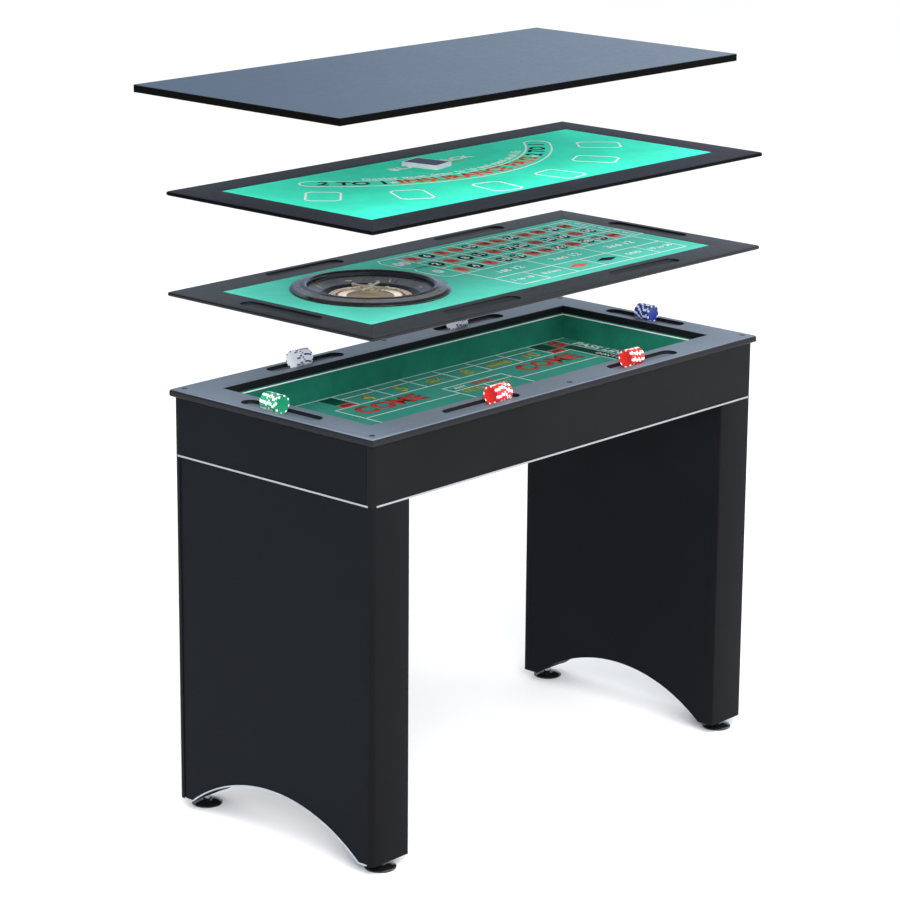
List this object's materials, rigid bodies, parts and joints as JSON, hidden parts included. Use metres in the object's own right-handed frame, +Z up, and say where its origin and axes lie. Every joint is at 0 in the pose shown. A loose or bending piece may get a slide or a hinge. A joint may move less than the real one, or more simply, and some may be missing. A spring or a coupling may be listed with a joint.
{
  "type": "craps table",
  "caption": "Craps table on two box legs with lift-off roulette, blackjack and dining tops raised above it, chips in rim channels and levelling feet.",
  "frame": {"origin": "centre of the footprint of the whole assembly, at floor level", "axes": "+X along the table's length with the roulette wheel towards -X, +Y towards the back, +Z up"},
  "size_m": [1.2594, 0.6186, 1.529],
  "materials": {
    "rim_laminate": "satin dark laminate on fibreboard",
    "panel_laminate": "fine-grained black laminate on fibreboard",
    "trim_metal": "brushed silver strip",
    "edge_band": "pale grey edge banding",
    "raw_board": "bare fibreboard",
    "craps_cloth": "dark green printed felt",
    "cap_plastic": "moulded black cap",
    "foot_steel": "zinc-plated steel",
    "foot_plastic": "gloss black moulding",
    "chip_green": "moulded, with white edge spots",
    "chip_white": "moulded, with blue edge spots",
    "chip_blue": "moulded, with white edge spots",
    "chip_red": "moulded, with white edge spots",
    "top_frame_finish": "satin black wrap on fibreboard",
    "roulette_cloth": "light green printed felt",
    "blackjack_cloth": "light green printed felt",
    "bowl_plastic": "gloss black moulding",
    "rotor_plastic": "printed red, black and cream number ring",
    "turret_metal": "polished pale brass",
    "playing_cards": "white card edges, slate-blue back",
    "dining_laminate": "satin dark laminate, black edges"
  },
  "bodies": {
    "table": {"rim_frame": "rim_laminate", "apron_front": "panel_laminate", "apron_back": "panel_laminate", "apron_left": "panel_laminate", "apron_right": "panel_laminate", "trim_front": "trim_metal", "trim_back": "trim_metal", "trim_left": "trim_metal", "trim_right": "trim_metal", "well_floor": "raw_board", "well_wall": "raw_board", "wall_felt": "craps_cloth", "craps_felt": "craps_cloth", "leg_left_outer": "panel_laminate", "leg_left_inner": "panel_laminate", "leg_left_front": "panel_laminate", "leg_left_back": "panel_laminate", "leg_left_soffit": "panel_laminate", "leg_right_outer": "panel_laminate", "leg_right_inner": "panel_laminate", "leg_right_front": "panel_laminate", "leg_right_back": "panel_laminate", "leg_right_soffit": "panel_laminate", "arch_band_left": "edge_band", "arch_band_right": "edge_band", "screw_cap_1": "cap_plastic", "screw_cap_2": "cap_plastic", "screw_cap_3": "cap_plastic", "screw_cap_4": "cap_plastic", "screw_cap_5": "cap_plastic", "screw_cap_6": "cap_plastic"},
    "roulette_top": {"roulette_frame": "top_frame_finish", "roulette_board": "raw_board", "roulette_felt": "roulette_cloth", "wheel_bowl": "bowl_plastic"},
    "roulette_wheel": {"wheel_rotor": "rotor_plastic", "wheel_turret": "turret_metal"},
    "blackjack_top": {"blackjack_rail_front": "top_frame_finish", "blackjack_rail_back": "top_frame_finish", "blackjack_rail_left": "top_frame_finish", "blackjack_rail_right": "top_frame_finish", "blackjack_board": "raw_board", "blackjack_felt": "blackjack_cloth", "card_deck": "playing_cards"},
    "dining_top": {"dining_top": "dining_laminate"},
    "chips_green_stack": {"chips_green": "chip_green"},
    "chips_white_left_stack": {"chips_white_left": "chip_white"},
    "chips_white_right_stack": {"chips_white_right": "chip_white"},
    "chips_blue_stack": {"chips_blue": "chip_blue"},
    "chips_red_left_stack": {"chips_red_left": "chip_red"},
    "chips_red_right_stack": {"chips_red_right": "chip_red"},
    "stem_left_front": {"foot_stem_left_front": "foot_steel"},
    "pad_left_front": {"foot_pad_left_front": "foot_plastic"},
    "stem_left_back": {"foot_stem_left_back": "foot_steel"},
    "pad_left_back": {"foot_pad_left_back": "foot_plastic"},
    "stem_right_front": {"foot_stem_right_front": "foot_steel"},
    "pad_right_front": {"foot_pad_right_front": "foot_plastic"},
    "stem_right_back": {"foot_stem_right_back": "foot_steel"},
    "pad_right_back": {"foot_pad_right_back": "foot_plastic"}
  },
  "joints": [
    {"name": "roulette_top_lift", "type": "slide", "parent": "table", "child": "roulette_top", "axis": [0, 0, 1], "range_m": [-0.159, 0]},
    {"name": "blackjack_top_lift", "type": "slide", "parent": "roulette_top", "child": "blackjack_top", "axis": [0, 0, 1], "range_m": [-0.182, 0]},
    {"name": "dining_top_lift", "type": "slide", "parent": "blackjack_top", "child": "dining_top", "axis": [-0.2027, 0.235, 0.9506], "range_m": [-0.19829, 0]},
    {"name": "wheel_spin", "type": "hinge", "parent": "roulette_top", "child": "roulette_wheel", "pos_m": [-0.2859, -0.0113, 1.09], "axis": [0, 0, 1], "continuous": true},
    {"name": "chips_green_slide", "type": "slide", "parent": "table", "child": "chips_green_stack", "axis": [0, 1, 0], "range_m": [-0.0909, 0.0509]},
    {"name": "chips_white_left_slide", "type": "slide", "parent": "table", "child": "chips_white_left_stack", "axis": [1, 0, 0], "range_m": [-0.0546, 0.0906]},
    {"name": "chips_white_right_slide", "type": "slide", "parent": "table", "child": "chips_white_right_stack", "axis": [1, 0, 0], "range_m": [-0.0358, 0.1159]},
    {"name": "chips_blue_slide", "type": "slide", "parent": "table", "child": "chips_blue_stack", "axis": [0, 1, 0], "range_m": [-0.0702, 0.0782]},
    {"name": "chips_red_left_slide", "type": "slide", "parent": "table", "child": "chips_red_left_stack", "axis": [1, 0, 0], "range_m": [-0.1209, 0.0209]},
    {"name": "chips_red_right_slide", "type": "slide", "parent": "table", "child": "chips_red_right_stack", "axis": [1, 0, 0], "range_m": [-0.0382, 0.1102]},
    {"name": "foot_travel_left_front", "type": "slide", "parent": "table", "child": "stem_left_front", "axis": [0, 0, 1], "range_m": [-0.015, 0]},
    {"name": "foot_turn_left_front", "type": "hinge", "parent": "stem_left_front", "child": "pad_left_front", "pos_m": [-0.5305, -0.2758, 0], "axis": [0, 0, 1], "range_deg": [-4320, 0]},
    {"name": "foot_travel_left_back", "type": "slide", "parent": "table", "child": "stem_left_back", "axis": [0, 0, 1], "range_m": [-0.015, 0]},
    {"name": "foot_turn_left_back", "type": "hinge", "parent": "stem_left_back", "child": "pad_left_back", "pos_m": [-0.5305, 0.2292, 0], "axis": [0, 0, 1], "range_deg": [-4320, 0]},
    {"name": "foot_travel_right_front", "type": "slide", "parent": "table", "child": "stem_right_front", "axis": [0, 0, 1], "range_m": [-0.015, 0]},
    {"name": "foot_turn_right_front", "type": "hinge", "parent": "stem_right_front", "child": "pad_right_front", "pos_m": [0.5707, -0.2758, 0], "axis": [0, 0, 1], "range_deg": [-4320, 0]},
    {"name": "foot_travel_right_back", "type": "slide", "parent": "table", "child": "stem_right_back", "axis": [0, 0, 1], "range_m": [-0.015, 0]},
    {"name": "foot_turn_right_back", "type": "hinge", "parent": "stem_right_back", "child": "pad_right_back", "pos_m": [0.5707, 0.2292, 0], "axis": [0, 0, 1], "range_deg": [-4320, 0]}
  ],
  "couplings": [
    {"joint": "foot_travel_left_front", "follows": "foot_turn_left_front", "m_per_rad": 0.00019894},
    {"joint": "foot_travel_left_back", "follows": "foot_turn_left_back", "m_per_rad": 0.00019894},
    {"joint": "foot_travel_right_front", "follows": "foot_turn_right_front", "m_per_rad": 0.00019894},
    {"joint": "foot_travel_right_back", "follows": "foot_turn_right_back", "m_per_rad": 0.00019894}
  ]
}
